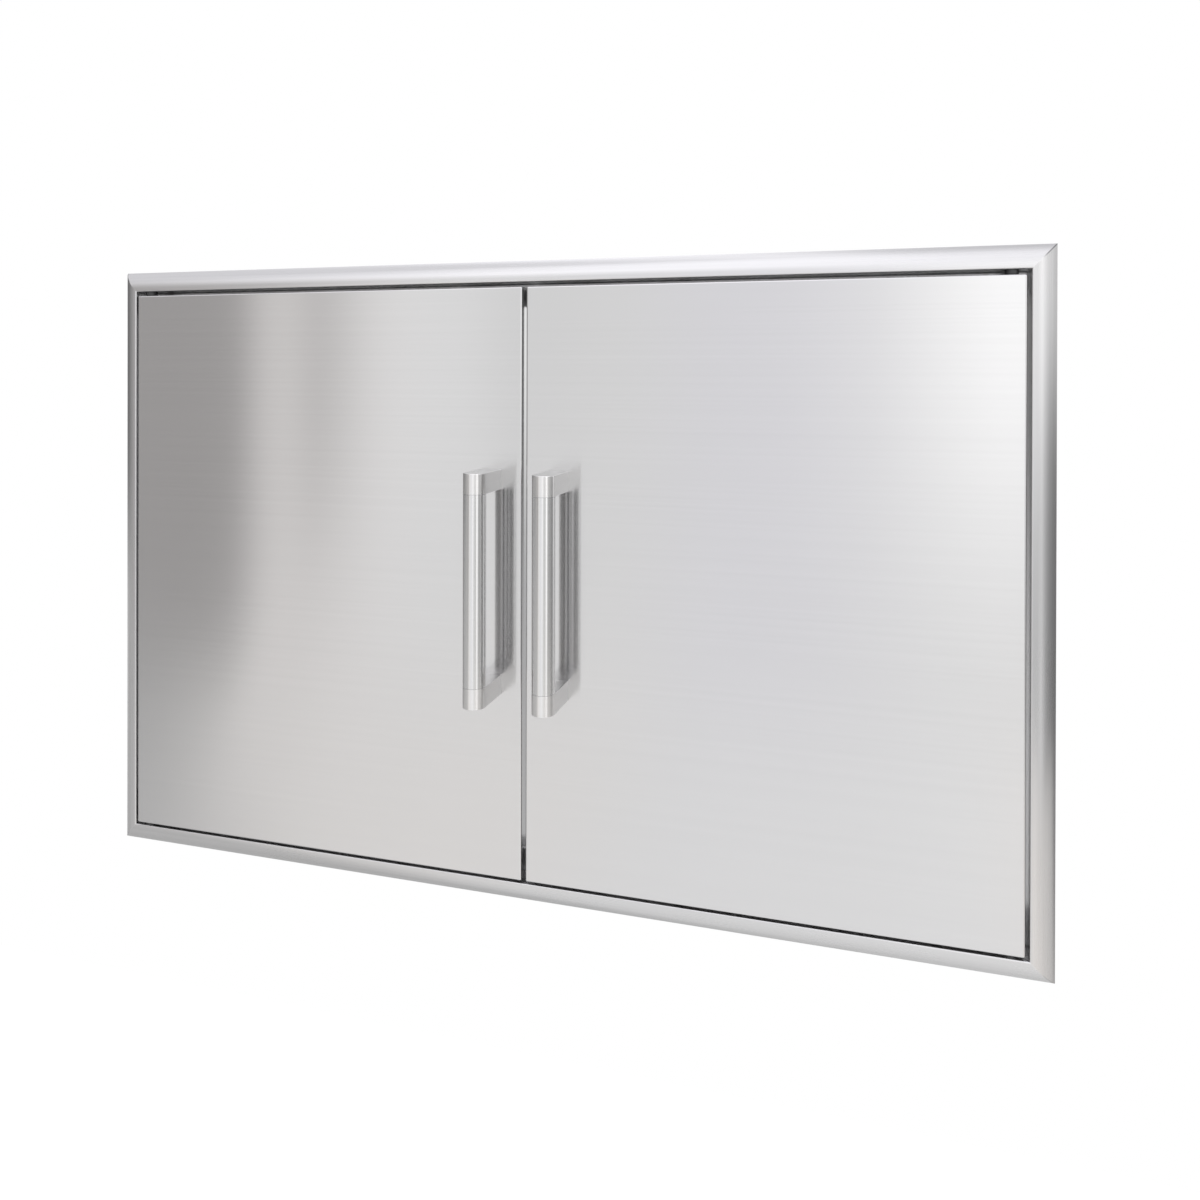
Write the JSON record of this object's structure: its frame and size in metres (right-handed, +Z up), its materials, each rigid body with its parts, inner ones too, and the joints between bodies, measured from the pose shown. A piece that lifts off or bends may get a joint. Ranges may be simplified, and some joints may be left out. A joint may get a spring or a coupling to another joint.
{
  "type": "outdoor kitchen double access door",
  "caption": "Stainless double access door for an outdoor kitchen island: mitred rounded trim, flush brushed doors on pivots, tubular bar handles, magnetic catches.",
  "frame": {"origin": "centre of the opening on the face of the wall that the trim lies on", "axes": "+X to the right seen from the front, +Y back into the wall, +Z up"},
  "size_m": [0.832, 0.1068, 0.55],
  "materials": {
    "trim_steel": "stainless steel, brushed along each member",
    "door_steel": "stainless steel, fine horizontal brushing",
    "liner_steel": "stainless steel, mill finish with light brushing",
    "handle_tube_steel": "stainless steel, brushed along the tube",
    "handle_bracket_steel": "stainless steel, satin",
    "stop_steel": "stainless steel, dull mill finish",
    "hardware_steel": "stainless steel, turned and pressed",
    "plated_steel": "zinc plated mild steel",
    "ferrite_magnet": "dark ferrite",
    "catch_plastic": "black moulded nylon",
    "nylon": "black nylon",
    "bumper_rubber": "soft dark rubber"
  },
  "bodies": {
    "frame": {"bumpers_bottom": "bumper_rubber", "bumpers_top": "bumper_rubber", "catch_screws": "hardware_steel", "door_stop_bottom": "stop_steel", "door_stop_top": "stop_steel", "frame_bottom": "trim_steel", "frame_left": "trim_steel", "frame_right": "trim_steel", "frame_top": "trim_steel", "hinge_screws_bottom": "hardware_steel", "hinge_screws_top": "hardware_steel", "left_bottom_hinge_plate": "hardware_steel", "left_bottom_pivot_pin": "hardware_steel", "left_bottom_pivot_washer": "nylon", "left_catch_housing": "catch_plastic", "left_catch_magnet": "ferrite_magnet", "left_catch_poles": "plated_steel", "left_top_hinge_plate": "hardware_steel", "left_top_pivot_pin": "hardware_steel", "left_top_pivot_washer": "nylon", "right_bottom_hinge_plate": "hardware_steel", "right_bottom_pivot_pin": "hardware_steel", "right_bottom_pivot_washer": "nylon", "right_catch_housing": "catch_plastic", "right_catch_magnet": "ferrite_magnet", "right_catch_poles": "plated_steel", "right_top_hinge_plate": "hardware_steel", "right_top_pivot_pin": "hardware_steel", "right_top_pivot_washer": "nylon"},
    "left_door": {"left_door_bottom_pivot_block": "hardware_steel", "left_door_bottom_pivot_bush": "nylon", "left_door_liner": "liner_steel", "left_door_skin": "door_steel", "left_door_top_pivot_block": "hardware_steel", "left_door_top_pivot_bush": "nylon", "left_handle_bottom_bracket": "handle_bracket_steel", "left_handle_screws": "hardware_steel", "left_handle_spacers": "hardware_steel", "left_handle_top_bracket": "handle_bracket_steel", "left_handle_tube": "handle_tube_steel", "left_strike_plate": "plated_steel", "left_strike_rivets": "hardware_steel"},
    "right_door": {"right_door_bottom_pivot_block": "hardware_steel", "right_door_bottom_pivot_bush": "nylon", "right_door_liner": "liner_steel", "right_door_skin": "door_steel", "right_door_top_pivot_block": "hardware_steel", "right_door_top_pivot_bush": "nylon", "right_handle_bottom_bracket": "handle_bracket_steel", "right_handle_screws": "hardware_steel", "right_handle_spacers": "hardware_steel", "right_handle_top_bracket": "handle_bracket_steel", "right_handle_tube": "handle_tube_steel", "right_strike_plate": "plated_steel", "right_strike_rivets": "hardware_steel"}
  },
  "joints": [
    {"name": "left_door_hinge", "type": "hinge", "parent": "frame", "child": "left_door", "pos_m": [-0.3839, -0.00455, 0], "axis": [0, 0, -1], "range_deg": [0, 115]},
    {"name": "right_door_hinge", "type": "hinge", "parent": "frame", "child": "right_door", "pos_m": [0.3839, -0.00455, 0], "axis": [0, 0, 1], "range_deg": [0, 115]}
  ]
}
